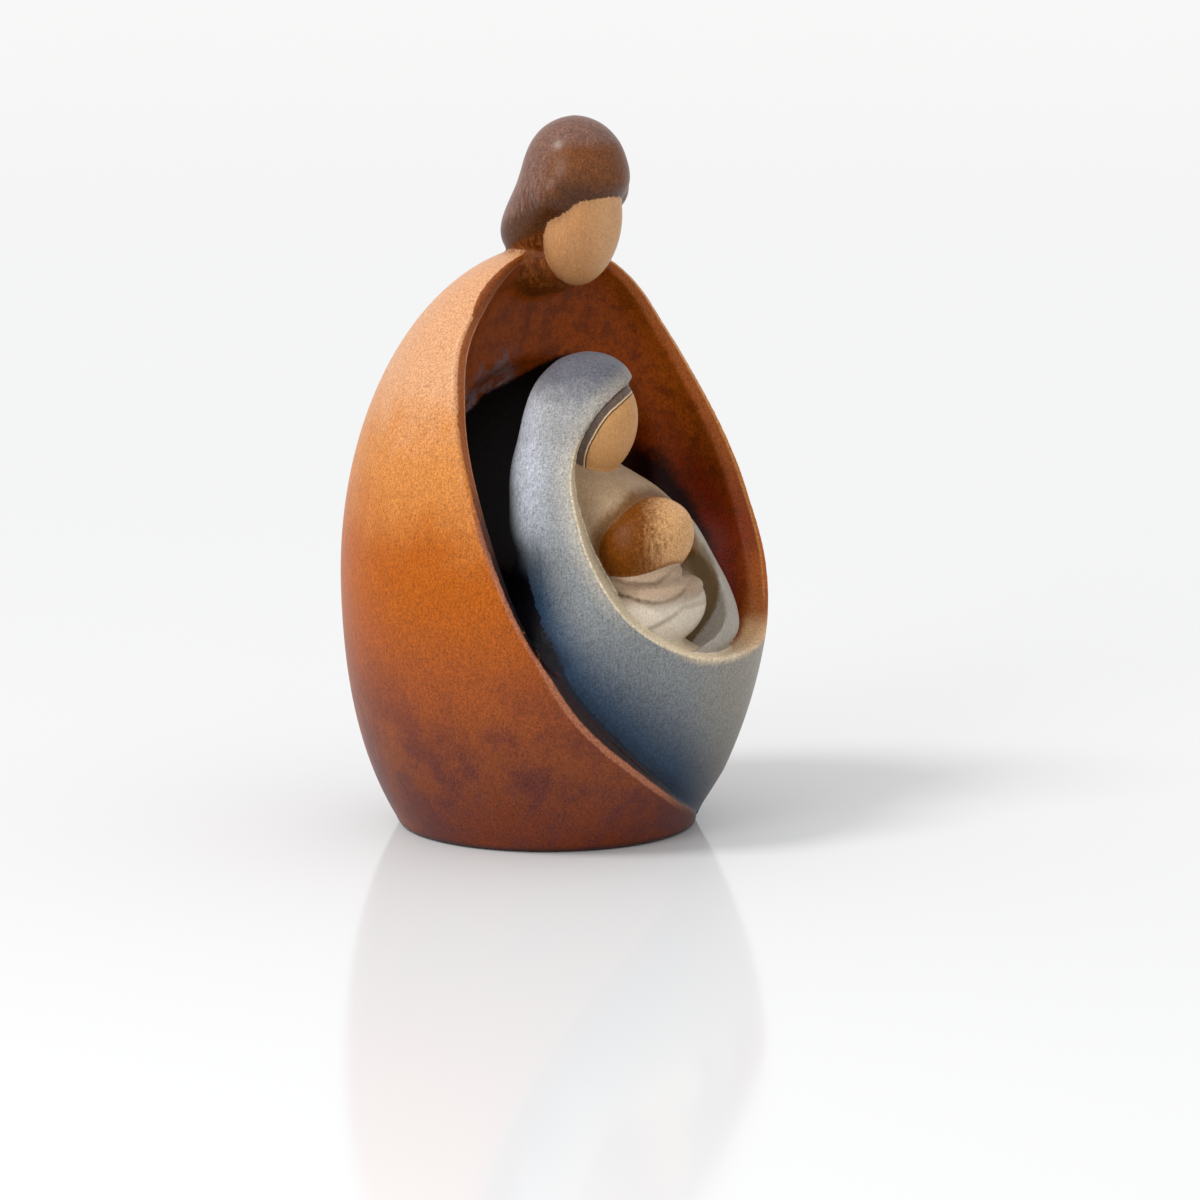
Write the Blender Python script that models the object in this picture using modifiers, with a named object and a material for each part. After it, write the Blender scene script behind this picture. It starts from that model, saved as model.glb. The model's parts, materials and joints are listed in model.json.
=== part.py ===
"""Holy family carved from one block of wood: a tall standing figure whose cloak opens round
a seated mother and her child.

The front faces -Y, +Z is up, and the origin is the centre of the flat underside.
"""
import math

import bmesh
import bpy
from mathutils import Matrix, Vector

# Driving sizes, in metres
HEIGHT = 0.150
WIDTH = 0.0902
BASE_WIDTH = 0.0622
CLOAK_WALL = 0.0042
BASE_EDGE_ROUND = 0.0015
MANTLE_SETBACK = 0.0005

# The figures are drawn on a grid that is 150 units high and 90.2 units wide, and keep their
# pose and proportions as shares of the height and the width.
UP = HEIGHT / 150.0
ACROSS = WIDTH / 90.2

# The body of the cloak: two half ellipses that meet at the belly, the lower one cut flat
BELLY_RADIUS = WIDTH / 2.0
BELLY_HEIGHT = 53.6 * UP
CROWN_HEIGHT = 123.0 * UP
LOWER_REACH = BELLY_HEIGHT / math.sqrt(1.0 - (BASE_WIDTH / WIDTH) ** 2)
FORWARD_LEAN = 2.5 * ACROSS
LEAN_ENDS = 50.0 * UP
BASE_BEVEL_SHARE = 0.3

# How finely the forms are faceted
BODY_SEGMENTS = 56
BODY_RINGS = 15
FORM_SEGMENTS = 24
FORM_ROWS_BETWEEN = 2
ARC_STEPS = 14
BALL_SEGMENTS = 20
BALL_RINGS = 12

# Cuts run well past the body outside, and stay this far from its middle at the neck
CUT_REACH = 1.3 * BELLY_RADIUS
NECK_CUT_RADIUS = 4.0 * ACROSS

# The opening of the cloak, from the top down: height, angle of its left and right rim from
# the front, and how far the hollow goes in behind the wall
CLOAK_OPENING = (
    (125.0, -88.0, 88.0, 1.0),
    (121.0, -87.0, 88.0, 2.0),
    (117.0, -86.0, 88.0, 4.0),
    (112.0, -84.5, 88.0, 7.0),
    (104.4, -83.0, 88.5, 9.0),
    (94.5, -77.0, 84.6, 13.0),
    (86.0, -71.5, 79.7, 18.0),
    (75.6, -65.0, 72.9, 22.0),
    (65.5, -58.8, 66.1, 24.0),
    (56.1, -54.4, 56.5, 23.0),
    (50.0, -51.2, 50.5, 20.0),
    (45.0, -48.0, 45.0, 14.0),
    (42.3, -46.0, 38.0, 9.0),
    (40.6, -44.5, 27.0, 6.0),
    (40.0, -44.0, 18.0, 3.0),
)

# The mother's mantle below the lip, where it shows on the body: height, and the angles of
# its left and right border from the front
MANTLE_FOOT = (
    (44.5, -44.5, -12.0),
    (41.5, -42.5, 8.0),
    (39.2, -40.4, 30.0),
    (36.5, -38.0, 50.0),
    (33.9, -35.1, 57.0),
    (28.7, -28.4, 58.0),
    (24.6, -22.5, 57.0),
    (21.0, -16.4, 56.0),
    (15.3, -5.4, 54.0),
    (8.6, 11.3, 51.0),
    (2.3, 37.8, 48.0),
    (-1.0, 46.0, 47.0),
)
MANTLE_FOOT_DEPTH = 3.0 * ACROSS
MANTLE_FOOT_SLOPE = math.radians(7.0)

# The mantle lies a setback below the cloak at its left border, and flush at its right one
MANTLE_FLUSH_ANGLE = math.radians(46.0)
MANTLE_SETBACK_FADE = math.radians(40.0)
FLUSH_SHARE = 0.06

# Round sections of the mother's mantle, of her robe and of the standing figure's hair:
# height, x, y and radius
MANTLE_SECTIONS = (
    (102.6, -6.6, -19.6, 0.8),
    (102.0, -6.6, -19.8, 3.6),
    (101.0, -7.0, -19.9, 6.0),
    (99.3, -7.2, -20.0, 8.1),
    (97.0, -7.8, -20.0, 9.8),
    (94.0, -8.1, -19.8, 11.1),
    (90.0, -8.5, -19.6, 12.0),
    (84.6, -8.6, -19.3, 12.7),
    (78.5, -9.4, -20.7, 14.0),
    (72.3, -8.7, -22.9, 16.0),
    (66.1, -7.8, -25.6, 18.0),
    (60.0, -5.3, -27.6, 20.0),
    (54.0, -2.0, -25.0, 25.0),
    (50.0, -0.5, -21.0, 28.5),
    (44.0, 0.6, -14.0, 34.0),
    (36.0, 2.2, -6.8, 39.7),
    (28.0, 2.5, -5.7, 38.0),
    (15.0, 3.4, -3.9, 34.0),
    (1.0, 2.2, -1.9, 28.0),
)
ROBE_SECTIONS = (
    (84.0, -9.8, -15.6, 5.0),
    (81.0, -9.6, -15.6, 8.9),
    (78.6, -8.2, -15.9, 10.7),
    (76.6, -6.7, -16.6, 12.3),
    (73.9, -4.6, -17.2, 14.3),
    (71.1, -3.1, -17.9, 15.8),
    (66.0, 0.0, -18.2, 18.2),
    (58.0, 2.5, -19.0, 20.3),
    (52.6, 4.1, -19.6, 21.5),
    (47.4, 4.7, -20.6, 22.2),
    (43.3, 4.1, -21.6, 22.0),
    (40.0, 2.0, -22.0, 20.0),
    (36.0, 2.0, -20.0, 16.0),
)
HAIR_SECTIONS = (
    (150.0, 0.0, -8.6, 0.8),
    (149.5, 0.0, -8.6, 3.0),
    (148.4, 0.0, -8.6, 5.4),
    (146.7, 0.0, -8.6, 7.5),
    (144.3, 0.0, -8.7, 9.3),
    (141.5, 0.0, -8.7, 10.5),
    (138.5, 0.0, -8.6, 11.3),
    (135.8, 0.0, -7.9, 11.7),
    (133.2, 0.0, -6.3, 11.7),
    (130.4, 0.0, -4.0, 11.3),
    (127.7, 0.0, -1.9, 10.7),
    (125.1, 0.0, -0.4, 9.9),
    (122.7, 0.0, 0.3, 8.8),
    (120.0, 0.0, 0.5, 6.8),
)

# The opening of the mantle: height and the place of its left edge across the figure's
# three-quarter view, which looks from 43 degrees to the left of the front
VIEW_TURN = math.radians(-43.0)
MANTLE_CUT_BACK = 6.0 * ACROSS
MANTLE_CUT_SPREAD = 4.0 * ACROSS
MANTLE_OPENING = (
    (108.0, 26.0),
    (104.0, 23.0),
    (100.2, 19.1),
    (97.4, 15.4),
    (95.7, 12.9),
    (92.2, 8.9),
    (87.4, 5.8),
    (83.6, 4.2),
    (79.2, 3.6),
    (75.1, 4.0),
    (70.3, 5.2),
    (65.4, 6.8),
    (60.3, 9.2),
    (55.2, 12.3),
    (50.6, 15.9),
    (47.0, 20.0),
    (44.2, 24.1),
    (41.6, 29.3),
    (40.3, 34.5),
)

# Rounded forms: name, centre, half axes and turns about X, Y and Z in degrees
ROUNDED_FORMS = (
    ("standing left temple", (-5.2, -9.6, 135.0), (7.0, 6.4, 6.4), (0.0, 0.0, 0.0)),
    ("standing right temple", (5.2, -9.6, 135.0), (7.0, 6.4, 6.4), (0.0, 0.0, 0.0)),
    ("standing face", (0.0, -11.0, 127.6), (8.5, 7.4, 13.0), (12.0, 0.0, 0.0)),
    ("standing neck", (0.0, 0.0, 119.0), (9.5, 8.0, 7.0), (0.0, 0.0, 0.0)),
    ("mother head", (-7.6, -22.6, 88.0), (8.6, 8.8, 11.6), (18.0, 0.0, 0.0)),
)
ARM_HOLLOW = ("arm hollow", (0.0, 2.4, 74.5), (30.0, 13.0, 24.0), (0.0, 0.0, 0.0))
CHILD_BED = ("child bed", (0.0, -39.0, 52.0), (13.5, 7.0, 12.0), (0.0, 0.0, 0.0))
CHILD_FORMS = (
    ("child head", (-2.4, -33.2, 64.6), (10.2, 9.0, 8.6), (0.0, -22.0, 0.0)),
    ("child body", (-2.0, -34.2, 50.2), (13.2, 7.8, 8.4), (0.0, -6.0, 0.0)),
    ("swaddling band", (-1.6, -37.9, 54.5), (9.0, 5.2, 3.2), (0.0, -4.0, 0.0)),
)


def new_collection(name):
    collection = bpy.data.collections.new(name)
    bpy.context.scene.collection.children.link(collection)
    return collection


def clear_scene():
    for item in list(bpy.data.objects):
        bpy.data.objects.remove(item, do_unlink=True)


def place(x, y, z):
    """A point of the drawing grid, in metres."""
    return Vector((x * ACROSS, y * ACROSS, z * UP))


def ease(share):
    share = min(1.0, max(0.0, share))
    return share * share * (3.0 - 2.0 * share)


def lean(height):
    """How far the centre of the body has moved to the front at a height."""
    return -FORWARD_LEAN * ease(height / LEAN_ENDS)


def body_radius(height):
    """The body's radius at a height; below the base it stays as it is there."""
    reach = CROWN_HEIGHT - BELLY_HEIGHT if height > BELLY_HEIGHT else LOWER_REACH
    share = (max(height, 0.0) - BELLY_HEIGHT) / reach
    return BELLY_RADIUS * math.sqrt(max(0.0, 1.0 - share * share))


def on_turn(angle, radius, height):
    """A point at an angle from the front, at a radius from the body's centre line."""
    return Vector((radius * math.sin(angle), lean(height) - radius * math.cos(angle), height))


def add_form(name, mesh, collection):
    """A solid that only shapes the carving and isn't a piece of it."""
    form = bpy.data.objects.new(name, mesh)
    collection.objects.link(form)
    form.hide_render = True
    form.display_type = "WIRE"
    return form


def mesh_of(name, form):
    mesh = bpy.data.meshes.new(name)
    form.to_mesh(mesh)
    form.free()
    return mesh


def loft(name, rings, collection):
    """A closed form through rings that have the same number of points, each to its like."""
    form = bmesh.new()
    corners = [form.verts.new(point) for point in rings[0]]
    first = [form.edges.new(pair) for pair in zip(corners, corners[1:] + corners[:1])]
    edges = first
    for ring in rings[1:]:
        grown = set(bmesh.ops.extrude_edge_only(form, edges=edges)["geom"])
        corners = [grown_from(corner, grown) for corner in corners]
        edges = [form.edges.get(pair) for pair in zip(corners, corners[1:] + corners[:1])]
        for corner, point in zip(corners, ring):
            corner.co = point
    bmesh.ops.contextual_create(form, geom=first)
    bmesh.ops.contextual_create(form, geom=edges)
    bmesh.ops.triangulate(form, faces=[face for face in form.faces if len(face.verts) > 4])
    bmesh.ops.recalc_face_normals(form, faces=form.faces)
    return add_form(name, mesh_of(name, form), collection)


def grown_from(corner, grown):
    """The corner that an extrusion made out of the given one."""
    return next(edge.other_vert(corner) for edge in corner.link_edges if edge.other_vert(corner) in grown)


def round_loft(name, sections, collection):
    """A form with round level sections, each given as height, x, y and radius."""
    rings = []
    for height, x, y, radius in smoother(sections):
        ring = []
        for step in range(FORM_SEGMENTS):
            turn = 2.0 * math.pi * step / FORM_SEGMENTS
            ring.append(place(x + radius * math.cos(turn), y + radius * math.sin(turn), height))
        rings.append(ring)
    return loft(name, rings, collection)


def smoother(rows):
    """Rows with more rows between them, on a smooth curve through the given ones."""
    result = []
    for i in range(len(rows) - 1):
        before = rows[max(i - 1, 0)]
        after = rows[min(i + 2, len(rows) - 1)]
        for step in range(FORM_ROWS_BETWEEN):
            t = step / FORM_ROWS_BETWEEN
            row = []
            for p0, p1, p2, p3 in zip(before, rows[i], rows[i + 1], after):
                bend = 2 * p0 - 5 * p1 + 4 * p2 - p3
                twist = 3 * (p1 - p2) + p3 - p0
                row.append(p1 + 0.5 * t * (p2 - p0 + t * (bend + t * twist)))
            result.append(tuple(row))
    result.append(tuple(rows[-1]))
    return result


def ellipsoid(name, centre, radii, turns, collection):
    """A round form with three half axes, turned about X, Y and Z in degrees."""
    form = bmesh.new()
    bmesh.ops.create_uvsphere(form, u_segments=BALL_SEGMENTS, v_segments=BALL_RINGS, radius=1.0)
    size = Matrix.Diagonal((radii[0], radii[1], radii[2], 1.0))
    turn = Matrix.Identity(4)
    for axis, angle in zip("XYZ", turns):
        turn = Matrix.Rotation(math.radians(angle), 4, axis) @ turn
    grid = Matrix.Diagonal((ACROSS, ACROSS, UP, 1.0))
    bmesh.ops.transform(form, matrix=grid @ Matrix.Translation(centre) @ turn @ size, verts=form.verts)
    return add_form(name, mesh_of(name, form), collection)


def body_profile():
    """Radius and height of the turned body, from the crown down to the middle of the base."""
    points = []
    for ring in range(BODY_RINGS + 1):
        turn = math.pi / 2.0 * ring / BODY_RINGS
        rise = (CROWN_HEIGHT - BELLY_HEIGHT) * math.cos(turn)
        points.append((BELLY_RADIUS * math.sin(turn), BELLY_HEIGHT + rise))
    for ring in range(1, BODY_RINGS + 1):
        height = BELLY_HEIGHT + (BASE_EDGE_ROUND - BELLY_HEIGHT) * ring / BODY_RINGS
        points.append((body_radius(height), height))
    edge_radius = points[-1][0]
    bevel = BASE_BEVEL_SHARE * BASE_EDGE_ROUND
    points.append((edge_radius - bevel, bevel))
    points.append((edge_radius - BASE_EDGE_ROUND, 0.0))
    points.append((0.0, 0.0))
    return points


def make_body():
    """The egg-shaped block as a mesh: a turned profile, leaned a little to the front."""
    profile = bmesh.new()
    corners = [profile.verts.new((radius, 0.0, height)) for radius, height in body_profile()]
    for upper, lower in zip(corners, corners[1:]):
        profile.edges.new((upper, lower))
    turned = bpy.data.objects.new("body profile", mesh_of("body profile", profile))
    bpy.context.scene.collection.objects.link(turned)
    screw = turned.modifiers.new("turn", "SCREW")
    screw.steps = BODY_SEGMENTS
    screw.render_steps = BODY_SEGMENTS
    screw.use_merge_vertices = True
    screw.merge_threshold = 0.00001
    ready = turned.evaluated_get(bpy.context.evaluated_depsgraph_get())
    body = bpy.data.meshes.new_from_object(ready)
    bpy.data.objects.remove(turned, do_unlink=True)
    for corner in body.vertices:
        corner.co.y += lean(corner.co.z)
    return body


def make_mantle_block():
    """The body again, a setback smaller where the mantle lies below the cloak."""
    block = make_body()
    for corner in block.vertices:
        away = Vector((corner.co.x, corner.co.y - lean(corner.co.z), 0.0))
        angle = math.atan2(away.x, -away.y)
        fade = ease((MANTLE_FLUSH_ANGLE - angle) / MANTLE_SETBACK_FADE)
        setback = MANTLE_SETBACK * max(FLUSH_SHARE, fade)
        if away.length > setback:
            corner.co -= away.normalized() * setback
    return block


def arc(start, end, radius, level):
    """Points on an arc about the body's centre line, from one angle to another."""
    turns = [start + (end - start) * step / ARC_STEPS for step in range(ARC_STEPS + 1)]
    return [on_turn(turn, radius, level) for turn in turns]


def opening_ring(height, left, right, depth):
    """A level section of the cloak's opening: straight rim cuts and a rounded back."""
    level = height * UP
    inner = max(body_radius(level) - CLOAK_WALL, NECK_CUT_RADIUS)
    start = math.radians(left)
    end = math.radians(right)
    left_end = on_turn(start, inner, level)
    right_end = on_turn(end, inner, level)
    middle = (left_end + right_end) / 2.0
    half = (right_end - left_end) / 2.0
    inwards = Vector((0.0, depth * ACROSS, 0.0))
    ring = arc(start, end, CUT_REACH, level)
    for step in range(ARC_STEPS + 1):
        turn = math.pi * step / ARC_STEPS
        ring.append(middle + half * math.cos(turn) + inwards * math.sin(turn))
    return ring


def foot_ring(height, left, right):
    """A level section of the shallow bed in which the lower mantle lies."""
    level = height * UP
    radius = body_radius(level)
    start = math.radians(left)
    end = math.radians(right)
    outside = arc(start - MANTLE_FOOT_SLOPE, end, radius + MANTLE_FOOT_DEPTH, level)
    return outside + arc(end, start, radius - MANTLE_FOOT_DEPTH, level)


def mantle_opening_ring(height, edge):
    """A level section of the cut that opens the mantle: straight back from its left edge."""
    near = edge * ACROSS
    far = near + 2.0 * CUT_REACH
    inner = near + MANTLE_CUT_SPREAD
    corners = ((near, CUT_REACH), (far, CUT_REACH), (far, -MANTLE_CUT_BACK), (inner, -MANTLE_CUT_BACK))
    ring = []
    for across, towards in corners:
        x = across * math.cos(VIEW_TURN) + towards * math.sin(VIEW_TURN)
        y = across * math.sin(VIEW_TURN) - towards * math.cos(VIEW_TURN)
        ring.append(Vector((x, y, height * UP)))
    return ring


def combine(target, other, operation):
    """Cuts or joins with one form, or with all the forms of a collection at once."""
    step = target.modifiers.new(other.name, "BOOLEAN")
    step.operation = operation
    step.solver = "EXACT"
    if isinstance(other, bpy.types.Collection):
        step.operand_type = "COLLECTION"
        step.collection = other
    else:
        step.object = other


def wood_finish():
    material = bpy.data.materials.new("stained wood")
    material.use_nodes = True
    shader = material.node_tree.nodes["Principled BSDF"]
    shader.inputs["Base Color"].default_value = (0.36, 0.13, 0.035, 1.0)
    shader.inputs["Roughness"].default_value = 0.42
    shader.inputs["Metallic"].default_value = 0.0
    return material


def make_mantle(forms, cutters):
    """The mother's mantle: rounded, held inside the body, and open at its front."""
    mantle = round_loft("mantle", MANTLE_SECTIONS, forms)
    block = add_form("mantle block", make_mantle_block(), cutters)
    rings = [mantle_opening_ring(*row) for row in smoother(MANTLE_OPENING)]
    combine(mantle, block, "INTERSECT")
    combine(mantle, loft("mantle front", rings, cutters), "DIFFERENCE")
    return mantle


def make_robe(forms, cutters):
    """The mother's robe, hollowed a little where the child lies."""
    robe = round_loft("robe", ROBE_SECTIONS, forms)
    combine(robe, ellipsoid(*CHILD_BED, cutters), "DIFFERENCE")
    return robe


def make_carving():
    parts = new_collection("holy_family_statue")
    hollows = new_collection("carved away")
    forms = new_collection("carved forms")
    cutters = new_collection("cutters of the forms")

    carving = bpy.data.objects.new("holy_family_carving", make_body())
    parts.objects.link(carving)
    carving.data.materials.append(wood_finish())

    loft("cloak opening", [opening_ring(*row) for row in smoother(CLOAK_OPENING)], hollows)
    loft("mantle bed", [foot_ring(*row) for row in smoother(MANTLE_FOOT)], hollows)
    ellipsoid(*ARM_HOLLOW, hollows)

    combine(carving, hollows, "DIFFERENCE")

    combine(carving, make_mantle(forms, cutters), "UNION")
    combine(carving, make_robe(forms, cutters), "UNION")
    combine(carving, round_loft("standing hair", HAIR_SECTIONS, forms), "UNION")
    for row in ROUNDED_FORMS + CHILD_FORMS:
        combine(carving, ellipsoid(*row, forms), "UNION")


clear_scene()
make_carving()
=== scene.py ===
"""Looks of a carved and stained wooden holy family: one block, modelled fine enough for its
soft edges, folds and painted borders, on a pale glossy floor.

Lengths in the tables are millimetres on a grid 150 high and 90.2 wide, taken from the frame.
"""
import json
import math

import bmesh
import bpy
import numpy as np
from mathutils import Matrix, Vector
from mathutils.bvhtree import BVHTree
from mathutils.kdtree import KDTree

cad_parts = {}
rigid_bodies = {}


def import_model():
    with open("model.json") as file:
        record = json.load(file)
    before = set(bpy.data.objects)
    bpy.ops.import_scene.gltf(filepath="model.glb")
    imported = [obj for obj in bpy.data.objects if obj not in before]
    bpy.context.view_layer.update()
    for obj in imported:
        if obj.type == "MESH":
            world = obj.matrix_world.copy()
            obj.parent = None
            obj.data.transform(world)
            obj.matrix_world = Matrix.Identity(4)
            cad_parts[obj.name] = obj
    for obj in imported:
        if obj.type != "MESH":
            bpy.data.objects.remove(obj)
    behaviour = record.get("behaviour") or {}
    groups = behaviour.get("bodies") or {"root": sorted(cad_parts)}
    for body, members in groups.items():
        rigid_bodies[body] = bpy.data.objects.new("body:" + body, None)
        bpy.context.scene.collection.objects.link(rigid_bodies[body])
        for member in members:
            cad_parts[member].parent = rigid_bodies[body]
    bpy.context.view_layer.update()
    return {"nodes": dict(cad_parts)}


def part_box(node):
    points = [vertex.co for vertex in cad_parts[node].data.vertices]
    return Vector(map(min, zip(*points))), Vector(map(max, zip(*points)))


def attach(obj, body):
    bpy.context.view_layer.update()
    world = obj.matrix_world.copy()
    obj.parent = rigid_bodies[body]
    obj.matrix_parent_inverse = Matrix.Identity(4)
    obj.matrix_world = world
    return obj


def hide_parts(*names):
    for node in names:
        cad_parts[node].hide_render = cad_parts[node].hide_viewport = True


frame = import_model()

NODE = "holy_family_carving"
LOW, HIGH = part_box(NODE)
UP = (HIGH.z - LOW.z) / 150.0
ACROSS = (HIGH.x - LOW.x) / 90.2
GRID = Matrix.Diagonal((ACROSS, ACROSS, UP, 1.0))

# The turned body of the cloak
BELLY_RADIUS = 45.1
BELLY_HEIGHT = 53.6
CROWN_HEIGHT = 123.0
BASE_RADIUS = 31.1
LOWER_REACH = BELLY_HEIGHT / math.sqrt(1.0 - (BASE_RADIUS / BELLY_RADIUS) ** 2)
FORWARD_LEAN = 2.5
LEAN_ENDS = 50.0
BASE_EDGE_ROUND = 1.5
CLOAK_WALL = 4.2
MANTLE_SETBACK = 0.5
LEAST_SETBACK = 0.06
MIDDLE_LEFT_ALONE = 4.0
CUT_REACH = 58.0
NECK_CUT_RADIUS = 4.0

# How finely the forms are made, before they grow together into one skin
BODY_SEGMENTS = 320
BODY_RINGS = 90
EDGE_STEPS = 6
FORM_SEGMENTS = 120
ROWS_BETWEEN = 8
ARC_STEPS = 72
SKIN_VOXEL = 0.5
SKIN_TRIANGLES = 190000

# How often the skins are smoothed, and how far from a hollow or the neck they are blended
CLOAK_ROUNDS = 8
WHOLE_ROUNDS = 3
BLEND_ROUNDS = 90
WEIGHT_LEVELS = 10
HOLLOW_BLEND = 6.0
NECK_BLEND = 5.0
NECK_BLEND_TOP = 121.0

# The opening of the cloak, from the top down: height, angle of its left and right rim from
# the front, and how far the hollow goes in behind the wall
CLOAK_OPENING = (
    (125.0, -88.0, 88.0, 1.0),
    (121.0, -87.0, 88.0, 2.0),
    (117.0, -86.0, 88.0, 4.0),
    (112.0, -84.5, 88.0, 7.0),
    (104.4, -83.0, 88.5, 9.0),
    (94.5, -77.0, 84.6, 13.0),
    (86.0, -72.5, 79.7, 18.0),
    (75.6, -66.6, 72.9, 22.0),
    (65.5, -61.2, 66.1, 24.0),
    (56.1, -56.2, 56.5, 23.0),
    (50.0, -52.6, 50.5, 20.0),
    (45.0, -49.1, 45.0, 14.0),
    (42.3, -46.6, 38.0, 9.0),
    (40.6, -44.5, 27.0, 6.0),
    (40.0, -44.0, 18.0, 3.0),
)

# The mantle below the lip: height, and the angles of its left and right border
MANTLE_FOOT = (
    (44.5, -44.5, -12.0),
    (41.5, -42.5, 8.0),
    (39.2, -40.4, 30.0),
    (36.5, -38.0, 50.0),
    (33.9, -35.1, 57.0),
    (28.7, -28.4, 58.0),
    (24.6, -22.5, 57.0),
    (21.0, -16.4, 56.0),
    (15.3, -5.4, 54.0),
    (8.6, 11.3, 51.0),
    (2.3, 37.8, 48.0),
    (-1.0, 46.0, 47.0),
)
MANTLE_FOOT_DEPTH = 3.0
MANTLE_FOOT_SLOPE = math.radians(7.0)
MANTLE_FLUSH_ANGLE = 46.0
MANTLE_SETBACK_FADE = 40.0

# Distances for the stains: how far they are told apart, the step between marks on a line, and
# the length of a degree on the belly
AREA_REACH = 12.0
MARK_STEP = 0.3
MILLIMETRES_A_DEGREE = 0.7

# Round sections: height, x, y and radius
MANTLE_SECTIONS = (
    (102.6, -6.6, -19.6, 0.8),
    (102.0, -6.6, -19.8, 3.6),
    (101.0, -7.0, -19.9, 6.0),
    (99.3, -7.2, -20.0, 8.1),
    (97.0, -7.8, -20.0, 9.8),
    (94.0, -8.1, -19.8, 11.1),
    (90.0, -8.5, -19.6, 12.0),
    (84.6, -8.7, -19.2, 12.8),
    (78.5, -9.7, -20.4, 14.4),
    (72.3, -9.1, -22.5, 16.5),
    (66.1, -8.3, -25.1, 18.7),
    (60.0, -5.8, -27.1, 20.6),
    (54.0, -2.0, -25.0, 25.0),
    (50.0, -0.5, -21.0, 28.5),
    (44.0, 0.6, -14.0, 34.0),
    (36.0, 2.2, -6.8, 39.7),
    (28.0, 2.5, -5.7, 38.0),
    (15.0, 3.4, -3.9, 34.0),
    (1.0, 2.2, -1.9, 28.0),
)
ROBE_SECTIONS = (
    (84.0, -9.8, -15.6, 5.0),
    (81.0, -9.6, -15.6, 8.9),
    (78.6, -8.2, -15.9, 10.7),
    (76.6, -6.7, -16.6, 12.3),
    (73.9, -4.6, -17.2, 14.3),
    (71.1, -3.1, -17.9, 15.8),
    (66.0, 0.0, -18.2, 18.2),
    (58.0, 2.5, -19.0, 20.3),
    (52.6, 4.1, -19.6, 21.5),
    (47.4, 4.7, -20.6, 22.2),
    (43.3, 4.1, -21.6, 22.0),
    (40.0, 2.0, -22.0, 20.0),
    (36.0, 2.0, -20.0, 16.0),
)
HAIR_SECTIONS = (
    (150.0, 0.0, -8.6, 0.8),
    (149.5, 0.0, -8.6, 3.0),
    (148.4, 0.0, -8.6, 5.4),
    (146.7, 0.0, -8.6, 7.5),
    (144.3, 0.0, -8.7, 9.3),
    (141.5, 0.0, -8.7, 10.5),
    (138.5, 0.0, -8.6, 11.3),
    (135.8, 0.0, -7.9, 11.7),
    (133.2, 0.0, -6.3, 11.7),
    (130.4, 0.0, -4.0, 11.3),
    (127.7, 0.0, -1.9, 10.7),
    (125.1, 0.0, -0.4, 9.9),
    (122.7, 0.0, 0.3, 8.8),
    (120.0, 0.0, 0.5, 6.8),
)

# The opening of the mantle: height and its left edge across the three-quarter view
VIEW_TURN = math.radians(-43.0)
MANTLE_CUT_BACK = 6.0
MANTLE_CUT_SPREAD = 4.0
MANTLE_OPENING = (
    (108.0, 26.0),
    (104.0, 23.0),
    (100.2, 19.1),
    (97.4, 15.4),
    (95.7, 12.9),
    (92.2, 8.9),
    (87.4, 5.8),
    (83.6, 4.2),
    (79.2, 3.6),
    (75.1, 4.0),
    (70.3, 5.2),
    (65.4, 6.8),
    (60.3, 9.2),
    (55.2, 12.3),
    (50.6, 15.9),
    (47.0, 20.0),
    (44.2, 24.1),
    (41.6, 29.3),
    (40.3, 34.5),
)

# Rounded forms: centre, half axes and turns about X, Y and Z in degrees
LEFT_TEMPLE = ((-5.2, -9.6, 135.0), (7.0, 6.4, 6.4), (0.0, 0.0, 0.0))
RIGHT_TEMPLE = ((5.2, -9.6, 135.0), (7.0, 6.4, 6.4), (0.0, 0.0, 0.0))
STANDING_FACE = ((0.0, -11.0, 127.6), (8.5, 7.4, 13.0), (12.0, 0.0, 0.0))
STANDING_NECK = ((0.0, 0.0, 119.0), (9.5, 8.0, 7.0), (0.0, 0.0, 0.0))
MOTHER_HEAD = ((-7.6, -22.6, 88.0), (8.6, 8.8, 11.6), (18.0, 0.0, 0.0))
ARM_HOLLOW = ((0.0, 2.4, 74.5), (30.0, 13.0, 24.0), (0.0, 0.0, 0.0))
CHILD_BED = ((0.0, -39.0, 52.0), (13.5, 7.0, 12.0), (0.0, 0.0, 0.0))
CHILD_HEAD = ((-3.1, -32.8, 64.4), (11.4, 9.0, 8.4), (0.0, -20.0, 0.0))
CHILD_BODY = ((-2.0, -34.2, 50.2), (13.2, 7.8, 8.4), (0.0, -6.0, 0.0))
SWADDLING_BAND = ((-1.6, -37.9, 54.5), (9.0, 5.2, 3.2), (0.0, -4.0, 0.0))

# The crease between cloak and mantle on the outside, as height over angle, and the top of
# the bevelled band of the cloak beside it; above, the crease goes on as a border of stain only
CREASE = (
    (-48.0, 51.0), (-46.9, 49.0), (-41.4, 40.9), (-35.1, 33.9), (-28.4, 28.7),
    (-16.4, 21.0), (-5.4, 15.3), (11.3, 8.6), (37.8, 2.3), (48.0, -1.5),
)
BAND_EDGE = (
    (-48.0, 45.2), (-46.8, 43.4), (-41.2, 35.3), (-36.1, 29.8), (-28.3, 24.1),
    (-20.6, 19.8), (-9.8, 14.5), (4.5, 8.9), (20.1, 4.4), (48.0, -3.5),
)
CREASE_ABOVE = ((-54.0, 60.0), (-51.2, 55.5))
CREASE_DEPTH = 1.5
CREASE_RISE = 11.0

# The outer edge of the lip over the mantle's front, as height over angle
LIP = (
    (-20.0, 46.5), (-12.8, 43.9), (-6.0, 41.6), (1.3, 40.0), (12.1, 39.4), (23.7, 39.6),
    (43.2, 40.7), (60.0, 41.5),
)

# The angle at which the mantle's front ends on the right
APRON_END = 60.0

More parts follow.
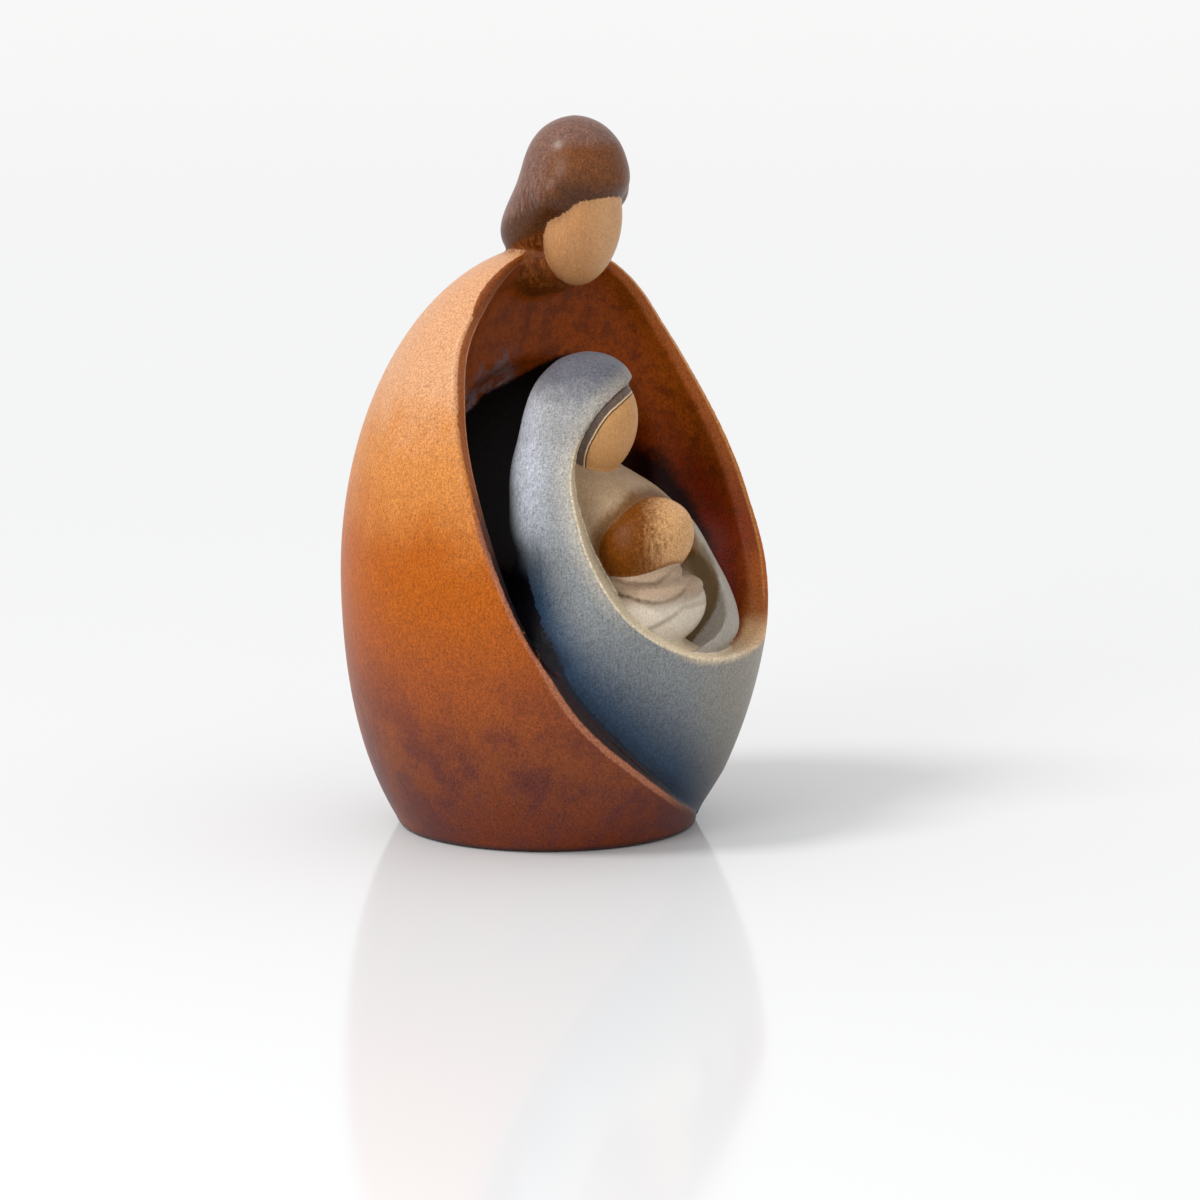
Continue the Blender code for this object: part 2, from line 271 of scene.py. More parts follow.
# The hairline of the standing figure: its height at the head's middle, and how much it rises
# for each millimetre to the front
HAIRLINE = 123.4
HAIRLINE_RISE = 0.444

# The upper edge of the nearly black hollow behind the mother's left side, part dark stain and
# part painted shade, as height over the distance across the three-quarter view
SHADED_SLOT = (
    (-20.0, 86.5), (-15.9, 88.0), (-13.0, 91.0), (-8.0, 93.0), (-3.0, 95.6), (0.0, 97.0),
    (4.0, 98.5),
)

# The upper edge of the painted shade on the inner wall on the right, behind the robe, in the same way
SHADE_BEHIND_ROBE = (
    (6.0, 72.0), (12.0, 74.0), (17.0, 76.5), (23.0, 76.0), (28.6, 69.2), (32.9, 62.0),
    (36.2, 55.6), (38.2, 50.0),
)

# The outer edge of the cloak's left rim and of the band below it, as angle over height
CLOAK_EDGE = (
    (-3.5, 48.0), (4.4, 20.1), (8.9, 4.5), (14.5, -9.8), (19.8, -20.6), (24.1, -28.3), (29.8, -36.1),
    (35.3, -41.5), (43.4, -47.7), (49.6, -52.4), (55.7, -56.1), (64.7, -60.9), (72.5, -65.0),
    (79.2, -68.6), (86.3, -72.5), (90.5, -75.0), (94.5, -76.8), (99.7, -80.1), (104.4, -83.1),
    (108.8, -83.5), (115.2, -89.0), (124.0, -92.0),
)

# The inner edge of the mother's sleeve, as distance across the view over height
SLEEVE = (
    (41.0, 28.5), (45.0, 32.2), (48.0, 34.4), (52.0, 35.6), (56.0, 35.2), (60.0, 33.6),
    (65.0, 30.5),
)

# Folds in the swaddling cloth, as height over the distance across the view, and their depth;
# how far a fold reaches above its line, how deep it undercuts the cloth below it, and the part
# of the view in which the cloth lies: across, height and how far to the front at least
FOLDS = (
    (0.75, (
        (10.5, 56.6), (14.0, 55.0), (16.8, 54.3), (20.0, 53.4), (23.4, 53.2), (26.5, 54.0),
        (29.5, 56.6),
    )),
    (0.55, ((12.5, 58.0), (15.6, 57.2), (19.0, 56.8), (22.4, 57.2), (25.5, 59.5))),
    (0.45, ((15.0, 46.0), (18.5, 47.2), (22.0, 48.3), (25.0, 49.6), (28.0, 51.4))),
)
FOLD_REACH = 1.6
FOLD_UNDERCUT = 0.8
FOLD_ENDS = 3.0
CLOTH_ACROSS = (8.0, 32.0)
CLOTH_HEIGHTS = (43.0, 63.0)
CLOTH_FRONT = 18.0

# The corner of cloth tucked under the child's chin: centre, half axes and turns
CLOTH_TUCK = ((-6.4, -35.6, 57.6), (8.2, 4.6, 3.6), (0.0, -10.0, -43.0))


def place(x, y, z):
    """A point of the drawing grid, in metres."""
    return Vector((x * ACROSS, y * ACROSS, z * UP))


def ease(share):
    share = np.clip(share, 0.0, 1.0)
    return share * share * (3.0 - 2.0 * share)


def lean(height):
    """How far the centre of the body has moved to the front at a height."""
    return -FORWARD_LEAN * ease(height / LEAN_ENDS)


def body_radius(height):
    height = np.maximum(height, 0.0)
    reach = np.where(height > BELLY_HEIGHT, CROWN_HEIGHT - BELLY_HEIGHT, LOWER_REACH)
    share = (height - BELLY_HEIGHT) / reach
    return BELLY_RADIUS * np.sqrt(np.maximum(0.0, 1.0 - share * share))


def on_turn(angle, radius, height):
    """A point at an angle from the front, at a radius from the body's centre line."""
    return (radius * math.sin(angle), lean(height) - radius * math.cos(angle), height)


def smoother(rows, between=ROWS_BETWEEN):
    """Rows with more rows between them, on a smooth curve through the given ones."""
    result = []
    for i in range(len(rows) - 1):
        before = np.array(rows[max(i - 1, 0)])
        start = np.array(rows[i])
        end = np.array(rows[i + 1])
        after = np.array(rows[min(i + 2, len(rows) - 1)])
        for step in range(between):
            t = step / between
            bend = 2 * before - 5 * start + 4 * end - after
            twist = 3 * (start - end) + after - before
            result.append(tuple(start + 0.5 * t * (end - before + t * (bend + t * twist))))
    result.append(tuple(rows[-1]))
    return result


def along(line, angles):
    """Heights of a line that is given as height over angle."""
    points = smoother(line)
    return np.interp(angles, [point[0] for point in points], [point[1] for point in points])


def crease_depth(angles, heights):
    """How far the surface is pressed in beside the crease, in millimetres."""
    crease = along(CREASE, angles)
    band = np.maximum(crease - along(BAND_EDGE, angles), 1.0)
    above = heights - crease
    from_cloak = ease((above + band) / band)
    from_mantle = ease(1.0 - above / CREASE_RISE) ** 1.6
    fade = ease((heights + 4.0) / 34.0) * ease((46.0 - angles) / 20.0) * ease((angles + 53.0) / 5.0)
    return CREASE_DEPTH * fade * np.where(above < 0.0, from_cloak, from_mantle)


def mesh_of(name, form):
    mesh = bpy.data.meshes.new(name)
    form.to_mesh(mesh)
    form.free()
    return mesh


def add_form(name, mesh):
    form = bpy.data.objects.new(name, mesh)
    bpy.context.scene.collection.objects.link(form)
    return form


def grown_from(corner, grown):
    """The corner that an extrusion made out of the given one."""
    return next(edge.other_vert(corner) for edge in corner.link_edges if edge.other_vert(corner) in grown)


def loft(name, rings):
    """A closed form through rings that have the same number of points, each to its like."""
    form = bmesh.new()
    corners = [form.verts.new(place(*point)) for point in rings[0]]
    first = [form.edges.new(pair) for pair in zip(corners, corners[1:] + corners[:1])]
    edges = first
    for ring in rings[1:]:
        grown = set(bmesh.ops.extrude_edge_only(form, edges=edges)["geom"])
        corners = [grown_from(corner, grown) for corner in corners]
        edges = [form.edges.get(pair) for pair in zip(corners, corners[1:] + corners[:1])]
        for corner, point in zip(corners, ring):
            corner.co = place(*point)
    bmesh.ops.contextual_create(form, geom=first)
    bmesh.ops.contextual_create(form, geom=edges)
    bmesh.ops.triangulate(form, faces=[face for face in form.faces if len(face.verts) > 4])
    bmesh.ops.recalc_face_normals(form, faces=form.faces)
    return add_form(name, mesh_of(name, form))


def round_loft(name, sections):
    rings = []
    for height, x, y, radius in smoother(sections):
        turns = [2.0 * math.pi * step / FORM_SEGMENTS for step in range(FORM_SEGMENTS)]
        rings.append([(x + radius * math.cos(turn), y + radius * math.sin(turn), height) for turn in turns])
    return loft(name, rings)


def ellipsoid(name, centre, radii, turns):
    """A round form with three half axes, turned about X, Y and Z in degrees."""
    form = bmesh.new()
    bmesh.ops.create_uvsphere(form, u_segments=96, v_segments=64, radius=1.0)
    turn = Matrix.Identity(4)
    for axis, angle in zip("XYZ", turns):
        turn = Matrix.Rotation(math.radians(angle), 4, axis) @ turn
    size = Matrix.Diagonal((*radii, 1.0))
    bmesh.ops.transform(form, matrix=GRID @ Matrix.Translation(centre) @ turn @ size, verts=form.verts)
    return add_form(name, mesh_of(name, form))


def body_profile():
    """Radius and height of the turned body, from the crown down to the middle of the base."""
    points = []
    for ring in range(BODY_RINGS + 1):
        turn = math.pi / 2.0 * ring / BODY_RINGS
        rise = (CROWN_HEIGHT - BELLY_HEIGHT) * math.cos(turn)
        points.append((BELLY_RADIUS * math.sin(turn), BELLY_HEIGHT + rise))
    for ring in range(1, BODY_RINGS + 1):
        height = BELLY_HEIGHT + (BASE_EDGE_ROUND - BELLY_HEIGHT) * ring / BODY_RINGS
        points.append((float(body_radius(height)), height))
    edge = points[-1][0]
    for step in range(1, EDGE_STEPS + 1):
        turn = math.pi / 2.0 * step / EDGE_STEPS
        inwards = BASE_EDGE_ROUND * (1.0 - math.cos(turn))
        points.append((edge - inwards, BASE_EDGE_ROUND * (1.0 - math.sin(turn))))
    points.append((0.0, 0.0))
    return points


def make_body(name, setback):
    """The egg-shaped block: a spun profile, leaned a little to the front and creased. The
    setback makes it smaller where the mantle lies below the cloak."""
    form = bmesh.new()
    corners = [form.verts.new(place(radius, 0.0, height)) for radius, height in body_profile()]
    edges = [form.edges.new(pair) for pair in zip(corners, corners[1:])]
    bmesh.ops.spin(form, geom=corners + edges, axis=(0.0, 0.0, 1.0), cent=(0.0, 0.0, 0.0),
                   angle=2.0 * math.pi, steps=BODY_SEGMENTS, use_merge=True)
    bmesh.ops.remove_doubles(form, verts=form.verts, dist=0.000005)
    bmesh.ops.recalc_face_normals(form, faces=form.faces)
    mesh = mesh_of(name, form)

    spots = read_places(mesh)
    x, y, z = spots.T
    radius = np.hypot(x, y)
    angles = np.degrees(np.arctan2(x, -y))
    inwards = crease_depth(angles, z)
    if setback:
        fade = ease((MANTLE_FLUSH_ANGLE - angles) / MANTLE_SETBACK_FADE)
        inwards = inwards + setback * np.maximum(fade, LEAST_SETBACK)
    beyond = radius > MIDDLE_LEFT_ALONE
    smaller = np.where(beyond, (radius - inwards) / np.maximum(radius, 0.001), 1.0)
    write_places(mesh, np.column_stack((x * smaller, y * smaller + lean(z), z)))
    return add_form(name, mesh)


def read_places(mesh):
    """The places of a mesh's points, in millimetres of the grid."""
    spots = np.empty(len(mesh.vertices) * 3, np.float32)
    mesh.vertices.foreach_get("co", spots)
    return spots.reshape(-1, 3).astype(float) / (ACROSS, ACROSS, UP)


def write_places(mesh, spots):
    mesh.vertices.foreach_set("co", (spots * (ACROSS, ACROSS, UP)).astype(np.float32).ravel())
    mesh.update()


def arc(start, end, radius, height):
    turns = [start + (end - start) * step / ARC_STEPS for step in range(ARC_STEPS + 1)]
    return [on_turn(turn, radius, height) for turn in turns]


def opening_ring(height, left, right, depth):
    """A level section of the cloak's opening: straight rim cuts and a rounded back."""
    inner = max(float(body_radius(height)) - CLOAK_WALL, NECK_CUT_RADIUS)
    start = math.radians(left)
    end = math.radians(right)
    left_end = np.array(on_turn(start, inner, height))
    right_end = np.array(on_turn(end, inner, height))
    middle = (left_end + right_end) / 2.0
    half = (right_end - left_end) / 2.0
    ring = arc(start, end, CUT_REACH, height)
    for step in range(ARC_STEPS + 1):
        turn = math.pi * step / ARC_STEPS
        ring.append(tuple(middle + half * math.cos(turn) + np.array((0.0, depth, 0.0)) * math.sin(turn)))
    return ring


def foot_ring(height, left, right):
    """A level section of the shallow bed in which the lower mantle lies."""
    radius = float(body_radius(height))
    start = math.radians(left)
    end = math.radians(right)
    outside = arc(start - MANTLE_FOOT_SLOPE, end, radius + MANTLE_FOOT_DEPTH, height)
    return outside + arc(end, start, radius - MANTLE_FOOT_DEPTH, height)


def mantle_opening_ring(height, edge):
    """A level section of the cut that opens the mantle: straight back from its left edge."""
    far = edge + 2.0 * CUT_REACH
    inner = edge + MANTLE_CUT_SPREAD
    front = CUT_REACH
    back = -MANTLE_CUT_BACK
    ring = []
    for across, towards in ((edge, front), (far, front), (far, back), (inner, back)):
        x = across * math.cos(VIEW_TURN) + towards * math.sin(VIEW_TURN)
        y = across * math.sin(VIEW_TURN) - towards * math.cos(VIEW_TURN)
        ring.append((x, y, height))
    return ring


def combine(target, other, operation):
    step = target.modifiers.new(other.name, "BOOLEAN")
    step.operation = operation
    step.solver = "MANIFOLD"
    step.object = other


def settle(form):
    """The form's mesh with its modifiers applied, as a new form."""
    ready = form.evaluated_get(bpy.context.evaluated_depsgraph_get())
    return add_form(form.name + "_done", bpy.data.meshes.new_from_object(ready))


def make_forms():
    """Every form of the carving by its name, cut to shape but not yet grown together."""
    body = make_body("body", 0.0)
    block = make_body("block", MANTLE_SETBACK)
    combine(body, loft("opening", [opening_ring(*row) for row in smoother(CLOAK_OPENING)]), "DIFFERENCE")
    combine(body, loft("bed", [foot_ring(*row) for row in smoother(MANTLE_FOOT)]), "DIFFERENCE")
    combine(body, ellipsoid("hollow", *ARM_HOLLOW), "DIFFERENCE")

    mantle = round_loft("mantle", MANTLE_SECTIONS)
    front = loft("front", [mantle_opening_ring(*row) for row in smoother(MANTLE_OPENING)])
    combine(mantle, block, "INTERSECT")
    combine(mantle, front, "DIFFERENCE")

    robe = round_loft("robe", ROBE_SECTIONS)
    combine(robe, ellipsoid("child bed", *CHILD_BED), "DIFFERENCE")

    forms = {
        "cloak": [settle(body)],
        "mantle": [settle(mantle)],
        "robe": [settle(robe)],
        "hair": [
            round_loft("hair", HAIR_SECTIONS),
            ellipsoid("left temple", *LEFT_TEMPLE),
            ellipsoid("right temple", *RIGHT_TEMPLE),
        ],
        "face": [ellipsoid("face", *STANDING_FACE)],
        "neck": [ellipsoid("neck", *STANDING_NECK)],
        "mother": [ellipsoid("mother", *MOTHER_HEAD)],
        "child_head": [ellipsoid("child head", *CHILD_HEAD)],
        "child_body": [
            ellipsoid("child body", *CHILD_BODY),
            ellipsoid("band", *SWADDLING_BAND),
            ellipsoid("tuck", *CLOTH_TUCK),
        ],
    }
    return forms, front


def joined(name, forms):
    """One mesh that holds the meshes of several forms."""
    whole = bmesh.new()
    for form in forms:
        whole.from_mesh(form.data)
    return add_form(name, mesh_of(name, whole))


def one_skin(name, forms, rounds):
    """One closed skin over forms that reach into each other, with its small steps smoothed."""
    whole = joined(name, forms)
    remesh = whole.modifiers.new("skin", "REMESH")
    remesh.mode = "VOXEL"
    remesh.voxel_size = SKIN_VOXEL * UP
    smooth = whole.modifiers.new("even", "SMOOTH")
    smooth.factor = 0.5
    smooth.iterations = rounds
    return settle(whole)


def off_ellipsoid(spots, centre, radii):
    """About how far points are from the surface of an upright ellipsoid."""
    share = np.sqrt((((spots - centre) / radii) ** 2).sum(axis=1))
    return np.abs(share - 1.0) * min(radii)


def soft_cloak(forms):
    """The cloak and the neck grown together, with the edges of its hollows blended away."""
    skin = one_skin("cloak skin", forms["cloak"] + forms["neck"], CLOAK_ROUNDS)
    spots = read_places(skin.data)
    x, y, z = spots.T
    inside = ease((body_radius(z) - np.hypot(x, y) - 5.0) / 4.0)
    hollow = 1.0 - ease(off_ellipsoid(spots, *ARM_HOLLOW[:2]) / HOLLOW_BLEND)
    neck = 1.0 - ease(off_ellipsoid(spots, *STANDING_NECK[:2]) / NECK_BLEND)
    weights = inside * np.maximum(hollow, neck * ease((NECK_BLEND_TOP - z) / 4.0))
    group = skin.vertex_groups.new(name="blended")
    for level in range(1, WEIGHT_LEVELS + 1):
        chosen = np.flatnonzero(np.round(weights * WEIGHT_LEVELS) == level)
        group.add(chosen.tolist(), level / WEIGHT_LEVELS, "REPLACE")
    blend = skin.modifiers.new("blend", "SMOOTH")
    blend.factor = 1.0
    blend.iterations = BLEND_ROUNDS
    blend.vertex_group = group.name
    return settle(skin)


def within(values, limits):
    return (values > limits[0]) & (values < limits[1])


def fold_cloth(skin, forms):
    """Presses the overlapping folds of the swaddling cloth into the skin."""
    spots = read_places(skin.data)
    x, y, z = spots.T
    across = x * math.cos(VIEW_TURN) + y * math.sin(VIEW_TURN)
    towards = x * math.sin(VIEW_TURN) - y * math.cos(VIEW_TURN)
    near = within(across, CLOTH_ACROSS) & within(z, CLOTH_HEIGHTS) & (towards > CLOTH_FRONT)
    chosen = np.flatnonzero(near)
    points = [skin.data.vertices[index].co.copy() for index in chosen.tolist()]
    cloth = nearest(points, forms["child_body"])
    rise = np.zeros(len(chosen))
    for depth, line in FOLDS:
        above = z[chosen] - along(line, across[chosen])
        start = ease((across[chosen] - line[0][0]) / FOLD_ENDS)
        ends = start * ease((line[-1][0] - across[chosen]) / FOLD_ENDS)
        upper = depth * np.exp(-np.abs(above) / FOLD_REACH)
        lower = -FOLD_UNDERCUT * depth * np.exp(-np.abs(above) / (0.5 * FOLD_REACH))
        rise += ends * np.where(above > 0.0, upper, lower)
    rise *= 1.0 - ease(cloth / 0.8)
    push = np.zeros((len(spots), 3))
    push[chosen] = rise[:, None] * np.array((math.sin(VIEW_TURN), -math.cos(VIEW_TURN), 0.15))
    write_places(skin.data, spots + push)


def grow_skin(forms):
    """One closed skin over all the forms, thinned to a handy number of triangles."""
    others = [form for name, group in forms.items() if name not in ("cloak", "neck") for form in group]
    skin = one_skin("whole", [soft_cloak(forms), *others], WHOLE_ROUNDS)
    fold_cloth(skin, forms)
    thin = skin.modifiers.new("thin", "DECIMATE")
    thin.ratio = min(1.0, SKIN_TRIANGLES / (2.0 * len(skin.data.polygons)))
    return settle(skin)


def nearest(points, forms):
    """Distance from each point to the nearest of the forms, in millimetres."""
    tree_form = bmesh.new()
    for form in forms:
        tree_form.from_mesh(form.data)
    tree = BVHTree.FromBMesh(tree_form)
    tree_form.free()
    return np.array([tree.find_nearest(point)[3] for point in points]) / UP


def from_line(points, line, angles, heights):
    """Distance of points from a line on the outside of the body that is given as angle over
    height, in millimetres; more than 0 on the side of the opening."""
    marks = np.arange(line[0][0], line[-1][0], MARK_STEP)
    tree = KDTree(len(marks))
    for mark, angle in zip(marks, along(line, marks)):
        radius = float(body_radius(mark))
        tree.insert(place(*on_turn(math.radians(angle), radius, mark)), 0)
    tree.balance()
    away = np.array([tree.find(point)[2] for point in points]) / UP
    return np.where(angles > along(line, heights), away, -away)


def put_field(mesh, name, values):
    field = mesh.attributes.new(name, "FLOAT", "POINT")
    field.data.foreach_set("value", values.astype(np.float32))


def put_fields(skin, forms, front):
    """What the finish needs to know at each point: how far it is inside each form's area,
    how deep below the outside of the body, and how far from the lines of the carving."""
    mesh = skin.data
    spots = read_places(mesh)
    x, y, z = spots.T
    points = [vertex.co.copy() for vertex in mesh.vertices]
    away = {name: nearest(points, group) for name, group in forms.items()}
    for name in away:
        others = np.min([away[other] for other in away if other != name], axis=0)
        put_field(mesh, "in_" + name, np.clip(others - away[name], -AREA_REACH, AREA_REACH))

    y_body = y - lean(z)
    angles = np.degrees(np.arctan2(x, -y_body))
    put_field(mesh, "depth", body_radius(z) - np.hypot(x, y_body))
    put_field(mesh, "from_crease", z - along(CREASE, angles))
    left_of_end = (APRON_END - angles) * MILLIMETRES_A_DEGREE
    apron = np.minimum(z - along(CREASE, angles), along(LIP, angles) - z)
    put_field(mesh, "apron", np.minimum(apron, left_of_end))
    put_field(mesh, "below_lip", along(LIP, angles) - z)
    put_field(mesh, "turn", angles)
    put_field(mesh, "from_mantle", away["mantle"])
    put_field(mesh, "from_front", nearest(points, [front]))
    across = x * math.cos(VIEW_TURN) + y * math.sin(VIEW_TURN)
    put_field(mesh, "across", across)
    put_field(mesh, "below_shaded_slot", along(SHADED_SLOT, across) - z)
    put_field(mesh, "below_shade_behind_robe", along(SHADE_BEHIND_ROBE, across) - z)
    put_field(mesh, "from_edge", from_line(points, CLOAK_EDGE, angles, z))
    crease = [(height, angle) for angle, height in reversed(CREASE_ABOVE + CREASE)]
    put_field(mesh, "past_crease", from_line(points, crease, angles, z))
    put_field(mesh, "from_cloak", away["cloak"])
    put_field(mesh, "from_sleeve", across - along(SLEEVE, z))
    put_field(mesh, "from_hairline", z - HAIRLINE + HAIRLINE_RISE * y)
    folds = [np.abs(z - along(line, across)) for depth, line in FOLDS]
    put_field(mesh, "from_fold", np.minimum(np.min(folds, axis=0), AREA_REACH))


def make_carving():
    forms, front = make_forms()
    skin = grow_skin(forms)
    put_fields(skin, forms, front)
    carving = bpy.data.objects.new("carved_holy_family", skin.data)
    keep = set(frame["nodes"].values())
    for item in list(bpy.data.objects):
        if item.type == "MESH" and item not in keep and item is not carving:
            bpy.data.objects.remove(item, do_unlink=True)
    bpy.context.scene.collection.objects.link(carving)
    carving.data.shade_smooth()
    carving.data.materials.append(stained_wood())
    return carving


class Value:
    """A number that varies over the surface; sums and products of it become Math nodes."""

    def __init__(self, finish, socket):
        self.finish = finish
        self.socket = socket

    def __add__(self, other):
        return self.finish.maths("ADD", self, other)

    def __radd__(self, other):
        return self.finish.maths("ADD", other, self)

    def __sub__(self, other):
        return self.finish.maths("SUBTRACT", self, other)

    def __rsub__(self, other):
        return self.finish.maths("SUBTRACT", other, self)

    def __mul__(self, other):
        return self.finish.maths("MULTIPLY", self, other)

    def __rmul__(self, other):
        return self.finish.maths("MULTIPLY", other, self)


class Finish:
    """A material's nodes."""

    def __init__(self, name):
        self.material = bpy.data.materials.new(name)
        self.material.use_nodes = True
        self.nodes = self.material.node_tree.nodes
        self.links = self.material.node_tree.links
        self.shader = self.nodes["Principled BSDF"]

    def set(self, socket, value):
        if isinstance(value, Value):
            value = value.socket
        if isinstance(value, bpy.types.NodeSocket):
            self.links.new(value, socket)
        else:
            socket.default_value = value

    def node(self, kind, settings=None, inputs=None, output=0):
        """Any node: its type, its settings, which are set first, and its inputs."""
        node = self.nodes.new("ShaderNode" + kind)
        for name, value in (settings or {}).items():
            setattr(node, name, value)
        for name, value in (inputs or {}).items():
            self.set(node.inputs[name], value)
        return node.outputs[output]

    def maths(self, operation, *values):
        return Value(self, self.node("Math", {"operation": operation}, dict(enumerate(values))))

    def field(self, name):
        return Value(self, self.node("Attribute", {"attribute_name": name}, output="Fac"))

    def step(self, value, start, end):
        """From 0 to 1, softly, as the value goes from start to end."""
        inputs = {"Value": value, "From Min": start, "From Max": end}
        return Value(self, self.node("MapRange", {"interpolation_type": "SMOOTHSTEP"}, inputs))

    def blend(self, share, first, second, kind="MIX"):
        inputs = {0: share, 6: first, 7: second}
        settings = {"data_type": "RGBA", "blend_type": kind}
        return self.node("Mix", settings, inputs, output=2)

    def noise(self, place, scale, detail, roughness):
        inputs = {"Vector": place, "Scale": scale, "Detail": detail, "Roughness": roughness}
        return Value(self, self.node("TexNoise", None, inputs, output="Fac"))

    def stretched(self, place, size, turn=(0.0, 0.0, 0.0)):
        return self.node("Mapping", None, {"Vector": place, "Scale": size, "Rotation": turn})


def rgb(red, green, blue):
    """A colour from its values on screen, 0 to 255."""
    values = [channel / 255.0 for channel in (red, green, blue)]
    return (*[((v + 0.055) / 1.055) ** 2.4 if v > 0.04045 else v / 12.92 for v in values], 1.0)


# The cloak's stain at its foot, and the stains that follow it upwards: the heights between
# which each takes over from the one before, and its colour
CLOAK_FOOT = rgb(108, 46, 20)
CLOAK_STAINS = (
    (0.0, 20.0, rgb(120, 60, 30)),
    (14.0, 38.0, rgb(146, 72, 26)),
    (32.0, 58.0, rgb(161, 80, 6)),
    (56.0, 82.0, rgb(186, 118, 56)),
    (80.0, 100.0, rgb(194, 142, 102)),
)
MAROON_CLOUDS = rgb(88, 40, 36)
UNDER_EDGE = rgb(60, 28, 18)

INNER_HIGH = rgb(130, 56, 0)
INNER_LOW = rgb(104, 22, 0)
INNER_MOTTLE = rgb(88, 34, 4)
INNER_EDGE = rgb(146, 74, 18)
INNER_PALE_EDGE = rgb(190, 140, 84)
# A pale mauve painted sheen on the inner wall, above the dark slot
INNER_MAUVE_SHEEN = rgb(132, 112, 112)
# Nearly black: part dark stain, part painted shade in the hollows behind the figures
INNER_DARK_STAIN_AND_SHADE = rgb(12, 5, 6)

# Dark low on the left rim: part stain, part painted shade
RIM_LOW_STAIN_AND_SHADE = rgb(42, 24, 24)
RIM_HIGH = rgb(150, 80, 34)
RIM_LINE = rgb(190, 128, 92)
RIM_AT_NECK = rgb(108, 52, 14)
RIDGE = rgb(158, 98, 70)
# The dark bevelled band: part stain, part painted shade
BAND_STAIN_AND_SHADE = rgb(40, 24, 25)
BAND_FOOT = rgb(84, 42, 30)

SLATE_DEEP = rgb(34, 54, 76)
SLATE_MIDDLE = rgb(124, 127, 128)
SLATE_PALE = rgb(144, 143, 143)
SLATE_CROWN = rgb(92, 92, 100)
SLATE_SHEEN = rgb(176, 180, 190)
SLATE_OLIVE = rgb(140, 128, 104)
SLATE_CREASE = rgb(14, 18, 26)
SLATE_SHADE = rgb(14, 12, 18)
SLATE_GLOW = rgb(174, 164, 146)
CREAM_LINE = rgb(204, 188, 160)
LIP_MIDDLE = rgb(206, 186, 158)
LIP_RIGHT = rgb(194, 154, 110)
LIP_BELOW = rgb(146, 80, 30)

ROBE_DARK = rgb(140, 112, 82)
ROBE_PALE = rgb(170, 146, 118)
# Painted shade in the groove beside the mother's sleeve
ROBE_GROOVE_SHADE = rgb(96, 76, 48)
SLEEVE_DARK = rgb(138, 129, 116)
SLEEVE_PALE = rgb(172, 166, 158)
# Darker brown on the robe round the child's head
ROBE_DARK_ROUND_CHILD = rgb(98, 60, 20)
SWADDLE_DARK = rgb(196, 180, 158)
SWADDLE_PALE = rgb(218, 208, 194)
SWADDLE_UPPER = rgb(146, 118, 92)
SWADDLE_FOLD = rgb(120, 96, 72)
CHILD_HAIR_DARK = rgb(84, 40, 0)
CHILD_HAIR_PALE = rgb(116, 62, 4)
CHILD_SKIN = rgb(196, 150, 102)
CHILD_OUTLINE = rgb(100, 56, 14)
CHILD_CHIN = rgb(118, 66, 16)

MOTHER_SKIN = rgb(186, 138, 88)
FRINGE_LINE = rgb(70, 48, 34)
FRINGE_GAP = rgb(204, 174, 138)
FRINGE_DARK = rgb(70, 56, 48)
FRINGE_PALE = rgb(116, 100, 88)
# Painted shadow on the face right under the hood's edge
HOOD_EDGE_SHADOW = rgb(46, 34, 28)

THROAT_DARK = rgb(84, 38, 4)
THROAT_PALE = rgb(122, 66, 24)
LOCKS_DARK = rgb(92, 62, 52)
LOCKS_PALE = rgb(122, 88, 74)
CROWN_DARK = rgb(82, 38, 4)
CROWN_PALE = rgb(120, 68, 22)
HAIRLINE_DARK = rgb(50, 24, 8)
HAIRLINE_PALE = rgb(94, 54, 26)
FACE_DARK = rgb(164, 112, 68)
FACE_PALE = rgb(184, 136, 92)
FACE_RIGHT = rgb(206, 164, 120)

# Object coordinates are metres and the stains count in millimetres
MILLIMETRES = 1000.0

# How strong the speckles and the fibres are, how much of them the pale parts are spared, and
# the relief of the wood, in metres
SPECKLE_STRENGTH = 2.2
GRAIN_STRENGTH = 1.0
SPARED_ON_PALE = 0.55
RELIEF_STRENGTH = 0.5
RELIEF_DEPTH = 0.00016


